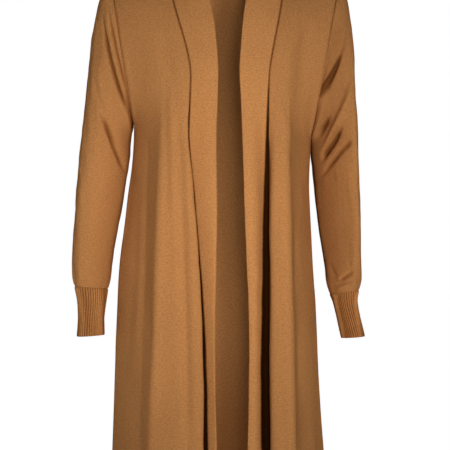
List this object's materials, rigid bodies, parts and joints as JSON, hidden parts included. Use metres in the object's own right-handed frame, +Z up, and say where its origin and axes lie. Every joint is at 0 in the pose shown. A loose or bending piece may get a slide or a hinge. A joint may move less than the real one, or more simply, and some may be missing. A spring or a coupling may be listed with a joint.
{
  "type": "open-front cardigan",
  "caption": "Long open-front cardigan in fine camel knit, worn form, with a doubled band round neck and fronts, long sleeves and ribbed cuffs.",
  "frame": {"origin": "midway between the two side-neck points, at the height where the wearer's shoulders carry the garment", "axes": "+Z up along the body, +X to the wearer's left, the open front faces -Y"},
  "size_m": [0.4947, 0.2533, 0.9674],
  "materials": {
    "back": "fine knit with a soft sheen",
    "front_right": "fine knit with a soft sheen",
    "front_left": "fine knit with a soft sheen",
    "band_right": "fine knit with a soft sheen",
    "band_left": "fine knit with a soft sheen",
    "sleeve_right": "fine knit with a soft sheen",
    "sleeve_left": "fine knit with a soft sheen",
    "cuff_right": "fine knit with a soft sheen",
    "cuff_left": "fine knit with a soft sheen"
  },
  "bodies": {
    "root": {"back": "back", "front_right": "front_right", "front_left": "front_left", "band_right": "band_right", "band_left": "band_left", "sleeve_right": "sleeve_right", "sleeve_left": "sleeve_left", "cuff_right": "cuff_right", "cuff_left": "cuff_left"}
  },
  "joints": []
}
